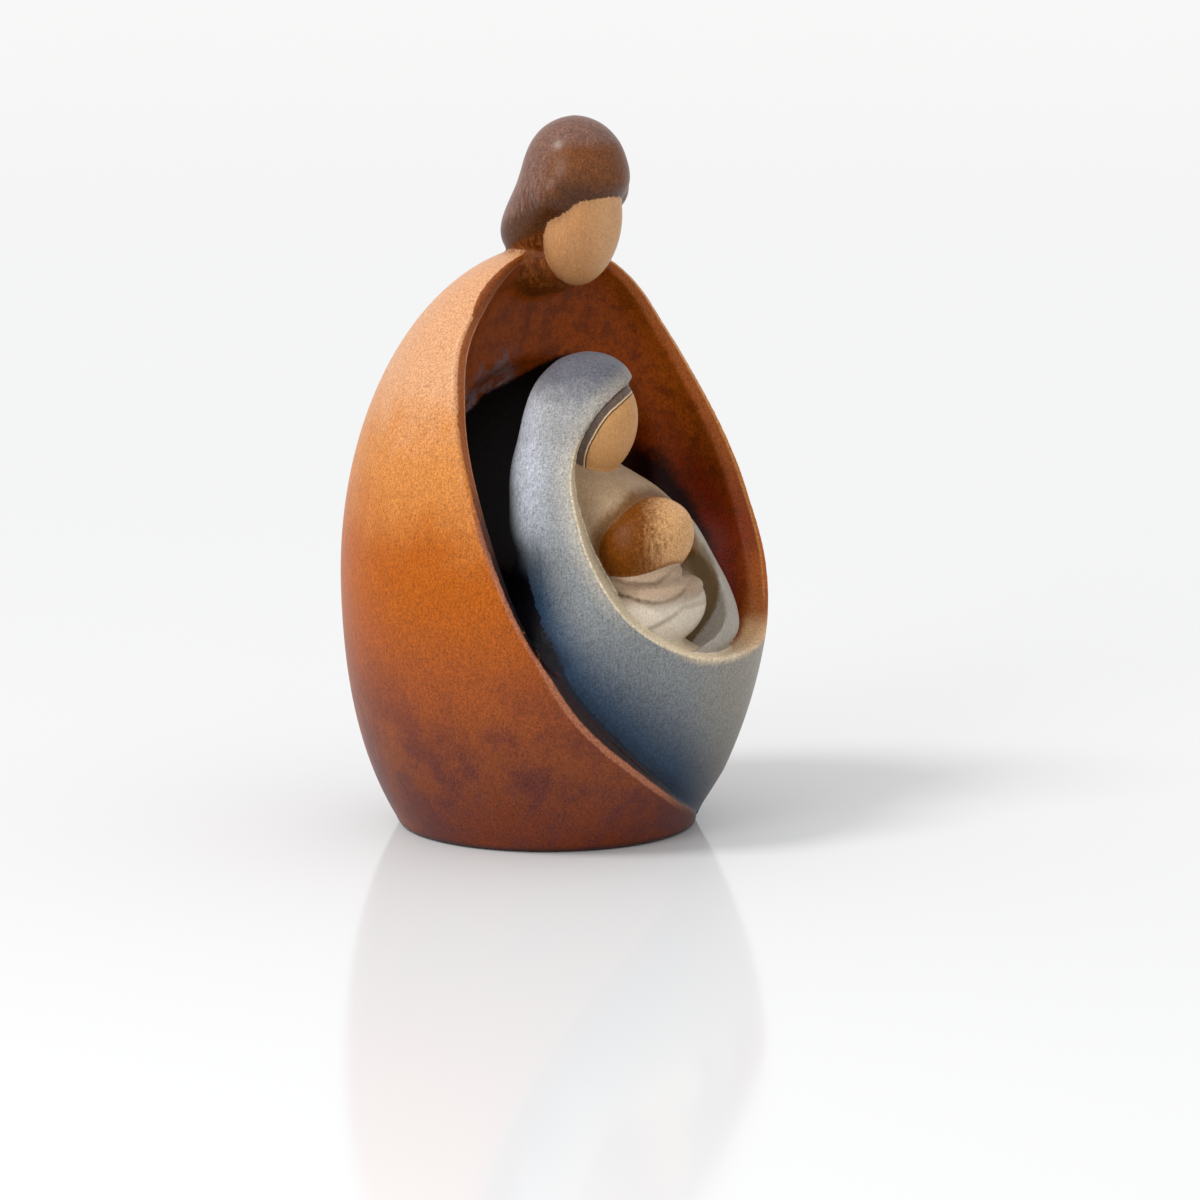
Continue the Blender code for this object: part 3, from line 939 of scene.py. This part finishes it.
class StainedWood(Finish):
    """Stain in several colours that run into each other, under a satin clear coat, with painted
    shade and sheen in places. Each method lays the colours of one zone over the colour it is given."""

    def __init__(self):
        super().__init__("stained wood")
        place = self.node("TexCoord", output="Object")
        spots = self.stretched(place, (MILLIMETRES, MILLIMETRES, MILLIMETRES))
        self.height = Value(self, self.node("SeparateXYZ", None, {0: spots}, output=2))
        self.behind = Value(self, self.node("SeparateXYZ", None, {0: spots}, output=1))

        fibres = self.stretched(spots, (1.0, 1.0, 0.3), (0.0, 0.3, 0.0))
        strokes = self.stretched(spots, (1.0, 1.0, 0.25), (0.0, 0.6, 0.0))
        self.speckle = self.noise(spots, 2.3, 3.0, 0.8)
        self.grain = self.noise(fibres, 2.4, 3.0, 0.7)
        self.cloud = self.noise(spots, 0.085, 4.0, 0.62)
        self.mottle = self.noise(spots, 0.3, 4.0, 0.7)
        self.ragged = self.noise(spots, 0.9, 4.0, 0.7)
        self.brushed = self.noise(strokes, 1.3, 3.0, 0.7)

        self.depth = self.field("depth")
        self.turn = self.field("turn")
        self.across = self.field("across")
        self.from_crease = self.field("from_crease")
        self.level = self.uneven(self.height, self.cloud, 24.0)
        self.past_crease = self.uneven(self.field("past_crease"), self.ragged, 0.4)
        self.shallow = self.step(self.depth, 6.5, 4.5)

    def uneven(self, value, noise, reach):
        """The value moved up and down by a noise, so that a border on it isn't smooth."""
        return value + (noise - 0.5) * reach

    def area(self, form):
        return self.step(self.field("in_" + form), -0.15, 0.15)

    def most(self, first, second):
        return self.maths("MAXIMUM", first, second)

    def cloak(self):
        """Pale at the shoulders, orange at the belly, red-brown and maroon below."""
        colour = CLOAK_FOOT
        for start, end, stain in CLOAK_STAINS:
            colour = self.blend(self.step(self.level, start, end), colour, stain)
        maroon = self.step(self.uneven(self.cloud, self.mottle, 0.12), 0.37, 0.6)
        maroon = maroon * self.step(self.height, 54.0, 12.0)
        colour = self.blend(maroon * 0.86, colour, MAROON_CLOUDS)
        return self.blend(self.step(self.height, 1.6, 0.6) * 0.6, colour, UNDER_EDGE)

    def inner_wall(self):
        """Orange at the rim, dark red-brown below, nearly black behind the figures: dark stain and painted
        shade on the left, painted shade behind the robe, and a mauve patch of painted sheen.
        """
        colour = self.blend(self.step(self.level, 92.0, 62.0), INNER_HIGH, INNER_LOW)
        colour = self.blend(self.step(self.mottle, 0.42, 0.62) * 0.6, colour, INNER_MOTTLE)
        right = self.step(self.turn, 0.0, 30.0)
        edge = self.step(self.uneven(self.depth, self.mottle, 6.0), 8.0, 2.0) * right
        upper = self.step(self.height, 62.0, 80.0) * 0.6
        lower = self.step(self.height, 60.0, 52.0) * 0.6
        colour = self.blend(edge * (0.3 + upper + lower), colour, INNER_EDGE)
        colour = self.blend(self.step(self.depth, 1.6, 0.6) * right, colour, INNER_PALE_EDGE)

        below_shaded_slot = self.uneven(self.field("below_shaded_slot"), self.ragged, 2.0)
        # A mauve patch of painted sheen on the wall above the dark slot on the left
        mauve_sheen = self.step(below_shaded_slot, -10.0, -4.0) * self.step(self.across, -5.0, -9.0)
        mauve_sheen = mauve_sheen * self.step(self.mottle, 0.4, 0.6)
        colour = self.blend(mauve_sheen * 0.8, colour, INNER_MAUVE_SHEEN)
        # Nearly black on the left below the slot's edge: part dark stain, part painted shade in the hollow
        slot_stain_and_shade = self.step(self.across, 8.0, 2.0) * self.step(below_shaded_slot, -0.6, 0.8)
        # Painted shade, nearly black, on the wall behind the robe on the right
        shade_behind_robe = self.step(self.uneven(self.field("below_shade_behind_robe"), self.mottle, 5.0), -3.0, 3.0)
        shade_behind_robe = shade_behind_robe * self.step(self.across, 2.0, 12.0)
        shade_behind_robe = shade_behind_robe * self.most(self.step(self.height, 52.0, 60.0), self.step(self.depth, 6.0, 13.0))
        return self.blend(self.most(slot_stain_and_shade, shade_behind_robe * 0.92), colour, INNER_DARK_STAIN_AND_SHADE)

    def rim(self, inner):
        """On the left darker than the cloak, with a pinkish inner edge; low down the rim is dark, part
        stain and part painted shade.
        """
        colour = self.blend(self.step(self.level, 58.0, 80.0), RIM_LOW_STAIN_AND_SHADE, RIM_HIGH)
        line = self.step(self.depth, 2.9, 3.5) * self.step(self.height, 70.0, 84.0)
        colour = self.blend(line, colour, RIM_LINE)
        at_neck = self.step(self.uneven(self.height, self.mottle, 8.0), 106.0, 114.0)
        colour = self.blend(at_neck * 0.8, colour, RIM_AT_NECK)
        return self.blend(self.step(self.turn, -30.0, 10.0), colour, inner)

    def edge_band(self, colour, rim):
        """Between cloak and mantle: a thin pale ridge and a dark bevelled band, part stain and part painted
        shade.
        """
        from_edge = self.uneven(self.field("from_edge"), self.ragged, 0.4)
        ridge = self.step(from_edge + self.step(self.height, 84.0, 64.0) * 0.9, -0.2, 0.3)
        band = ridge * self.step(self.past_crease, 0.3, -0.3) * self.shallow
        stain = self.blend(self.step(from_edge, 0.3, 0.8), RIDGE, BAND_STAIN_AND_SHADE)
        stain = self.blend(self.step(self.level, 58.0, 80.0), stain, rim)
        stain = self.blend(self.step(self.height, 14.0, 4.0), stain, BAND_FOOT)
        return self.blend(band, colour, stain)

    def slate(self):
        """The mantle's stain: pale grey above, deep slate blue towards the crease."""
        deep = self.step(self.uneven(self.from_crease, self.ragged, 5.0), 1.0, 24.0)
        colour = self.blend(deep, SLATE_DEEP, SLATE_MIDDLE)
        colour = self.blend(self.step(self.from_crease, 20.0, 40.0), colour, SLATE_PALE)
        crown = self.step(self.uneven(self.height, self.mottle, 8.0), 91.0, 99.0)
        colour = self.blend(crown, colour, SLATE_CROWN)
        sheen = self.step(self.across, 2.0, -4.0) * self.step(self.from_crease, 8.0, 26.0)
        sheen = sheen * self.step(self.height, 100.0, 88.0)
        colour = self.blend(sheen * self.step(self.brushed, 0.15, 0.6), colour, SLATE_SHEEN)
        colour = self.blend(self.step(self.across, 26.0, 42.0) * 0.5, colour, SLATE_OLIVE)
        crease = self.step(self.past_crease, 3.2, 0.2) * self.step(self.height, 4.0, 16.0)
        colour = self.blend(crease * self.shallow * 0.85, colour, SLATE_CREASE)

        from_cloak = self.uneven(self.field("from_cloak"), self.ragged, 1.0)
        shade = self.step(from_cloak + self.step(self.height, 48.0, 56.0) * 3.4, 5.6, 2.0)
        beside = self.step(self.past_crease, 0.6, -0.6) * self.step(self.height, 61.0, 57.0)
        shade = self.most(shade, beside) * self.step(self.across, 6.0, 1.0)
        colour = self.blend(shade * self.step(self.depth, 1.0, 3.5), colour, SLATE_SHADE)
        glow = self.step(self.field("from_front"), 4.5, 0.5) * self.step(self.height, 44.0, 60.0)
        return self.blend(glow * 0.45, colour, SLATE_GLOW)

    def mantle(self, colour):
        """The mantle with the cream line round its opening, and the tan lip below."""
        mantle = self.area("mantle")
        mantle = mantle * self.most(self.step(self.turn, 59.0, 57.0), self.step(self.depth, 1.5, 3.0))
        apron = self.step(self.uneven(self.field("apron"), self.ragged, 0.8), -0.2, 0.6)
        apron = apron * self.step(self.depth, 3.5, 2.5)
        colour = self.blend(self.most(mantle, apron), colour, self.slate())
        cream = self.step(self.field("from_front"), 0.6, 0.3) * mantle
        colour = self.blend(cream * self.step(self.height, 90.0, 82.0), colour, CREAM_LINE)

        below_lip = self.uneven(self.field("below_lip"), self.ragged, 1.2)
        lip = self.step(below_lip, 1.0, -0.9) * self.step(self.turn, -16.0, 6.0)
        lip = lip * self.step(self.depth, 6.0, 4.0) * self.step(below_lip, -9.0, -5.0)
        lip = lip * self.step(self.turn, 68.0, 52.0)
        tan = self.blend(self.step(self.turn, 10.0, 40.0), LIP_MIDDLE, LIP_RIGHT)
        under = self.step(below_lip, -1.0, -5.0) * self.step(self.turn, 25.0, 45.0)
        return self.blend(lip, colour, self.blend(under, tan, LIP_BELOW))

    def robe(self, colour):
        self.on_robe = self.area("robe")
        sleeve = self.uneven(self.field("from_sleeve"), self.ragged, 1.2)
        cloth = self.blend(self.mottle, ROBE_DARK, ROBE_PALE)
        # Painted shade in the groove between the swaddled child and the mother's sleeve
        groove_shade = self.step(sleeve, -8.0, -4.0) * self.step(self.height, 64.0, 61.0)
        groove_shade = groove_shade * self.step(self.behind, -27.0, -33.0)
        cloth = self.blend(groove_shade * 0.9, cloth, ROBE_GROOVE_SHADE)
        arm = self.step(sleeve, -0.5, 0.5) * self.step(self.behind, -20.0, -34.0)
        cloth = self.blend(arm, cloth, self.blend(self.ragged, SLEEVE_DARK, SLEEVE_PALE))
        colour = self.blend(self.on_robe, colour, cloth)
        from_child = self.uneven(self.field("in_child_head") * -1.0, self.mottle, 3.0)
        # The robe darker brown round the child's head
        dark_round_child = self.on_robe * self.step(from_child, 3.4, 0.4)
        return self.blend(dark_round_child * 0.9, colour, ROBE_DARK_ROUND_CHILD)

    def child(self, colour):
        self.on_swaddle = self.area("child_body")
        bundle = self.blend(self.mottle, SWADDLE_DARK, SWADDLE_PALE)
        bundle = self.blend(self.step(self.height, 51.0, 55.0) * 0.8, bundle, SWADDLE_UPPER)
        fold = self.step(self.field("from_fold"), 0.9, 0.2)
        bundle = self.blend(fold * 0.3, bundle, SWADDLE_FOLD)
        colour = self.blend(self.on_swaddle, colour, bundle)

        temple = self.step(self.uneven(self.across, self.brushed, 9.0), 18.0, 27.0)
        head = self.blend(self.brushed, CHILD_HAIR_DARK, CHILD_HAIR_PALE)
        head = self.blend(temple, head, CHILD_SKIN)
        outline = self.step(self.field("in_child_head"), 1.2, 0.2)
        head = self.blend(outline * 0.6, head, CHILD_OUTLINE)
        head = self.blend(self.step(self.height, 63.0, 58.0) * 0.5, head, CHILD_CHIN)
        return self.blend(self.area("child_head"), colour, head)

    def mother(self, colour):
        """A plain face, the hair that shows as lines under the hood, and a painted shadow right under the
        hood's edge.
        """
        self.on_mother = self.area("mother")
        from_hood = self.uneven(self.field("from_mantle"), self.ragged, 0.3)
        skin = self.blend(self.step(from_hood, 2.5, 2.3), MOTHER_SKIN, FRINGE_LINE)
        skin = self.blend(self.step(from_hood, 2.2, 2.05), skin, FRINGE_GAP)
        fringe = self.blend(self.brushed, FRINGE_DARK, FRINGE_PALE)
        skin = self.blend(self.step(from_hood, 1.9, 1.7), skin, fringe)
        # Painted shadow right under the hood's edge
        skin = self.blend(self.step(from_hood, 0.7, 0.2) * 0.7, skin, HOOD_EDGE_SHADOW)
        return self.blend(self.on_mother, colour, skin)

    def standing_head(self, colour):
        """Brushed brown hair, darkest along the hairline, round a plain face."""
        in_hair = self.field("in_hair")
        in_face = self.field("in_face")
        from_hairline = self.field("from_hairline")
        neck = self.step(self.uneven(self.field("in_neck"), self.brushed, 5.0), -1.6, 1.2)
        throat = self.blend(self.step(self.brushed, 0.4, 0.66), THROAT_DARK, THROAT_PALE)
        colour = self.blend(self.most(neck, self.step(in_hair, -0.3, 0.3)), colour, throat)

        hairline = self.uneven(from_hairline, self.brushed, 3.0)
        self.on_hair = self.step(self.uneven(in_hair, self.brushed, 1.6), -0.2, 0.2)
        self.on_hair = self.on_hair * self.step(hairline, -0.4, 0.4)
        from_face = self.maths("MINIMUM", in_face * -1.0, from_hairline)
        from_face = self.uneven(from_face, self.brushed, 5.0)
        from_face = from_face + self.step(self.across, 2.0, 14.0) * 2.6
        from_face = from_face - self.step(self.across, 0.0, -6.0) * 1.3
        locks = self.blend(self.step(self.brushed, 0.2, 0.8), LOCKS_DARK, LOCKS_PALE)
        crown = self.step(self.uneven(from_face, self.mottle, 4.0), 11.0, 8.0)
        crown = crown * self.step(self.behind, -9.0, -14.0)
        crown = crown * self.step(self.uneven(self.height, self.mottle, 3.0), 146.5, 143.5)
        locks = self.blend(crown * 0.9, locks, self.blend(self.speckle, CROWN_DARK, CROWN_PALE))
        shadow = self.blend(self.speckle, HAIRLINE_DARK, HAIRLINE_PALE)
        locks = self.blend(self.step(from_face, 5.4, 2.6), locks, shadow)
        colour = self.blend(self.on_hair, colour, locks)

        strokes = (self.brushed - 0.5) * self.step(from_hairline, -3.0, 1.0) * 2.6
        self.on_face = self.step(in_face + strokes, -0.15, 0.15)
        cheek = self.blend(self.brushed, FACE_DARK, FACE_PALE)
        cheek = self.blend(self.step(self.across, 7.0, 13.0) * 0.5, cheek, FACE_RIGHT)
        return self.blend(self.on_face, colour, cheek)

    def stains(self):
        """All the zones over each other, from the cloak to the faces."""
        inner = self.inner_wall()
        rim = self.rim(inner)
        outside = self.step(self.uneven(self.depth, self.ragged, 0.5), 1.3, 0.7)
        self.on_inside = self.step(self.uneven(self.depth, self.ragged, 0.9), 3.6, 4.4)
        colour = self.blend(outside, self.blend(self.on_inside, rim, inner), self.cloak())
        colour = self.edge_band(colour, rim)
        colour = self.mantle(colour)
        colour = self.robe(colour)
        colour = self.child(colour)
        colour = self.mother(colour)
        return self.standing_head(colour)

    def speckled(self, colour):
        """Speckled stain and wood fibres over everything, weaker on the pale parts."""
        pale = self.most(self.on_robe, self.on_swaddle)
        pale = self.most(pale, self.most(self.on_mother, self.on_face))
        strength = 1.0 - pale * SPARED_ON_PALE
        dots = (self.speckle - 0.5) * SPECKLE_STRENGTH
        lines = (self.grain - 0.5) * GRAIN_STRENGTH
        tone = 1.0 + (dots + lines) * strength
        grey = self.node("CombineColor", None, {0: tone, 1: tone, 2: tone})
        return self.blend(1.0, colour, grey, "MULTIPLY")


def stained_wood():
    wood = StainedWood()
    shader = wood.shader
    wood.set(shader.inputs["Base Color"], wood.speckled(wood.stains()))
    wood.set(shader.inputs["Roughness"], 0.34 + wood.speckle * 0.14)
    wood.set(shader.inputs["Coat Weight"], 0.12 + wood.on_hair * 0.14 - wood.on_inside * 0.12)
    shader.inputs["Specular IOR Level"].default_value = 0.1
    shader.inputs["Coat Roughness"].default_value = 0.24
    relief = wood.speckle * 0.5 + wood.grain * 0.4 + wood.mottle * 2.0
    settings = {"Strength": RELIEF_STRENGTH, "Distance": RELIEF_DEPTH, "Height": relief}
    wood.set(shader.inputs["Normal"], wood.node("Bump", None, settings))
    return wood.material


def make_floor():
    """A pale, slightly glossy floor, lighter far away so that it runs out into the backdrop."""
    form = bmesh.new()
    bmesh.ops.create_circle(form, cap_ends=True, segments=96, radius=9.0)
    floor = add_form("floor", mesh_of("floor", form))
    floor.data.transform(Matrix.Translation((0.0, 0.0, LOW.z - 0.0001)))
    white = Finish("pale floor")
    place = white.node("TexCoord", output="Object")
    away = Value(white, white.node("VectorMath", {"operation": "LENGTH"}, {0: place}, output="Value"))
    pale = white.blend(white.step(away, 0.5, 2.2), (0.66, 0.665, 0.675, 1.0), (0.7, 0.7, 0.7, 1.0))
    white.set(white.shader.inputs["Base Color"], pale)
    white.shader.inputs["Roughness"].default_value = 0.1
    white.shader.inputs["Specular IOR Level"].default_value = 0.1
    floor.data.materials.append(white.material)


# The camera: where it stands round the object, in metres and degrees, and its lens
CAMERA_AZIMUTH = -43.0
CAMERA_DISTANCE = 1.12
CAMERA_HEIGHT = 0.25
CAMERA_PITCH = -10.257
CAMERA_YAW = -0.567
CAMERA_LENS = 162.06


def at_azimuth(azimuth, distance, height):
    turn = math.radians(azimuth)
    return Vector((distance * math.sin(turn), -distance * math.cos(turn), height))


def make_camera():
    data = bpy.data.cameras.new("camera")
    data.lens = CAMERA_LENS
    data.sensor_width = 36.0
    camera = bpy.data.objects.new("camera", data)
    camera.location = at_azimuth(CAMERA_AZIMUTH, CAMERA_DISTANCE, CAMERA_HEIGHT)
    heading = math.radians(CAMERA_AZIMUTH + CAMERA_YAW)
    camera.rotation_euler = (math.radians(90.0 + CAMERA_PITCH), 0.0, heading)
    bpy.context.scene.collection.objects.link(camera)
    bpy.context.scene.camera = camera


def area_light(name, azimuth, elevation, distance, size, power, tint):
    data = bpy.data.lights.new(name, "AREA")
    data.shape = "DISK"
    data.size = size
    data.energy = power
    data.color = tint
    light = bpy.data.objects.new(name, data)
    rise = math.radians(elevation)
    target = Vector((0.0, 0.0, 0.07))
    light.location = target + at_azimuth(azimuth, distance * math.cos(rise), distance * math.sin(rise))
    light.rotation_euler = (target - light.location).to_track_quat("-Z", "Y").to_euler()
    bpy.context.scene.collection.objects.link(light)


def sun_light(name, azimuth, elevation, spread, strength, tint):
    """A soft even light from one direction, which the whole floor gets alike."""
    data = bpy.data.lights.new(name, "SUN")
    data.angle = math.radians(spread)
    data.energy = strength
    data.color = tint
    light = bpy.data.objects.new(name, data)
    rise = math.radians(elevation)
    light.location = at_azimuth(azimuth, math.cos(rise), math.sin(rise))
    light.rotation_euler = light.location.to_track_quat("Z", "Y").to_euler()
    bpy.context.scene.collection.objects.link(light)


def make_light():
    world = bpy.data.worlds.new("studio")
    world.use_nodes = True
    background = world.node_tree.nodes["Background"]
    background.inputs["Color"].default_value = (1.0, 1.0, 1.0, 1.0)
    background.inputs["Strength"].default_value = 0.92
    bpy.context.scene.world = world
    sun_light("key", -106.0, 52.0, 16.0, 1.65, (1.0, 0.99, 0.97))
    area_light("side", -78.0, 24.0, 0.9, 0.4, 2.2, (1.0, 1.0, 1.0))


def main():
    carving = make_carving()
    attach(carving, "root")
    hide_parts(NODE)
    make_floor()
    make_camera()
    make_light()
    bpy.context.scene.view_settings.view_transform = "Standard"


main()
